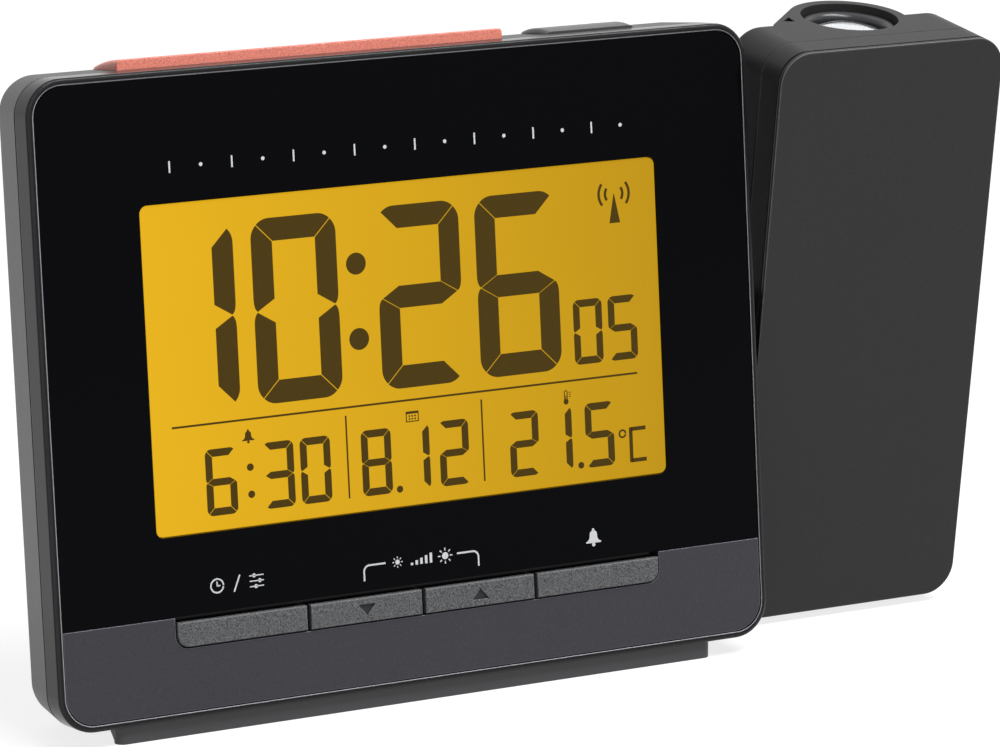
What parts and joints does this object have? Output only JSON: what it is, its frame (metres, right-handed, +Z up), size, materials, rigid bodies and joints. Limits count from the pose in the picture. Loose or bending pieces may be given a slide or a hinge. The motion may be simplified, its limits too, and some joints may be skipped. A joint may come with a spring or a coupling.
{
  "type": "projection alarm clock",
  "caption": "Leaning table alarm clock with a wide backlit display, front buttons, a snooze bar and a swivelling projector arm with a focusing lens at its side.",
  "frame": {"origin": "centre of the flat underside of the foot, midway along its width and its depth", "axes": "+Z up, -Y out of the display, +X to the right as the display is seen, towards the projector arm"},
  "size_m": [0.1613, 0.0472, 0.098],
  "materials": {
    "case_black": "satin moulded black",
    "frame_black": "polished moulded black",
    "foot_black": "satin moulded black",
    "window_black": "high gloss",
    "panel_grey": "satin",
    "button_grey": "fine texture",
    "snooze_red": "satin translucent red",
    "key_grey": "satin",
    "lcd_amber": "lit amber display",
    "clear_plastic": "clear",
    "white_film": "white",
    "amber_led": "clear domed",
    "circuit_green": "lacquered circuit board",
    "component_black": "moulded",
    "connector_white": "moulded",
    "steel": "plated",
    "copper": "enamelled copper wire",
    "ferrite_grey": "sintered",
    "rubber_black": "matt",
    "cell_label": "printed sleeve",
    "door_black": "satin moulded black",
    "nylon_white": "natural nylon",
    "ribbon_grey": "flexible",
    "arm_dark": "fine grain",
    "arm_black": "satin moulded black",
    "barrel_black": "matt black",
    "lens_glass": "polished"
  },
  "bodies": {
    "case": {"back_cover": "case_black", "aerial_clips": "case_black", "front_frame": "frame_black", "foot_plate": "foot_black", "foot_lip_strip": "foot_black", "display_window": "window_black", "lower_front_panel": "panel_grey", "lcd_cell": "lcd_amber", "light_guide": "clear_plastic", "reflector_film": "white_film", "display_holder": "white_film", "backlight_leds": "amber_led", "main_board": "circuit_green", "top_switch_board": "circuit_green", "receiver_board": "circuit_green", "button_switches": "component_black", "top_switches": "component_black", "clock_chip": "component_black", "capacitors": "component_black", "buzzer": "component_black", "power_inlet": "component_black", "temperature_sensor": "component_black", "cable_connector": "connector_white", "board_screws": "steel", "case_screws": "steel", "foot_screws": "steel", "positive_contacts": "steel", "negative_springs": "steel", "quartz_crystal": "steel", "pivot_clip": "steel", "aerial_coil": "copper", "ferrite_rod": "ferrite_grey", "rubber_pads": "rubber_black", "zebra_strip": "rubber_black", "battery_cells": "cell_label", "friction_washer": "nylon_white", "arm_ribbon": "ribbon_grey"},
    "arm": {"arm_face_plate": "arm_dark", "arm_front_cover": "arm_black", "arm_rear_shell": "arm_black", "arm_screws": "steel", "pivot_hub": "arm_black", "optics_tube": "nylon_white", "projection_lcd": "lens_glass", "condenser_lens": "lens_glass", "led_board": "circuit_green", "projection_led": "amber_led", "driver_board": "circuit_green"},
    "focus_ring": {"focus_wheel": "barrel_black"},
    "focus_barrel": {"lens_barrel": "barrel_black", "projection_lens": "lens_glass"},
    "mode_set_key": {"mode_set_button": "button_grey"},
    "down_key": {"down_button": "button_grey"},
    "up_key": {"up_button": "button_grey"},
    "alarm_key": {"alarm_button": "button_grey"},
    "snooze_key": {"snooze_bar": "snooze_red"},
    "projection_key": {"projection_button": "key_grey"},
    "battery_door": {"battery_cover": "door_black"}
  },
  "joints": [
    {"name": "projector_tilt", "type": "hinge", "parent": "case", "child": "arm", "pos_m": [0.08167, -0.00977, 0.04796], "axis": [1, 0, 0], "range_deg": [-102.9, 77.1]},
    {"name": "focus_turn", "type": "hinge", "parent": "arm", "child": "focus_ring", "pos_m": [0.08357, -0.005, 0.07876], "axis": [0, -0.1323, 0.9912], "range_deg": [-90, 90]},
    {"name": "lens_focus", "type": "slide", "parent": "arm", "child": "focus_barrel", "axis": [0, -0.1323, 0.9912], "range_m": [-0.001, 0.001]},
    {"name": "mode_set_press", "type": "slide", "parent": "case", "child": "mode_set_key", "axis": [0, 0.9957, -0.0924], "range_m": [0, 0.0005], "stiffness_N_per_m": 600, "springref_m": -0.001},
    {"name": "down_press", "type": "slide", "parent": "case", "child": "down_key", "axis": [0, 0.9957, -0.0924], "range_m": [0, 0.0005], "stiffness_N_per_m": 600, "springref_m": -0.001},
    {"name": "up_press", "type": "slide", "parent": "case", "child": "up_key", "axis": [0, 0.9957, -0.0924], "range_m": [0, 0.0005], "stiffness_N_per_m": 600, "springref_m": -0.001},
    {"name": "alarm_press", "type": "slide", "parent": "case", "child": "alarm_key", "axis": [0, 0.9957, -0.0924], "range_m": [0, 0.0005], "stiffness_N_per_m": 600, "springref_m": -0.001},
    {"name": "snooze_press", "type": "slide", "parent": "case", "child": "snooze_key", "axis": [0, -0.0924, -0.9957], "range_m": [0, 0.0008], "stiffness_N_per_m": 500, "springref_m": -0.001},
    {"name": "projection_press", "type": "slide", "parent": "case", "child": "projection_key", "axis": [0, -0.0924, -0.9957], "range_m": [0, 0.0008], "stiffness_N_per_m": 500, "springref_m": -0.001},
    {"name": "battery_door_hinge", "type": "hinge", "parent": "case", "child": "battery_door", "pos_m": [0, 0.00235, 0.03128], "axis": [-1, 0, 0], "range_deg": [0, 75]}
  ],
  "couplings": [
    {"joint": "focus_turn", "follows": "lens_focus", "rad_per_m": 1570}
  ]
}
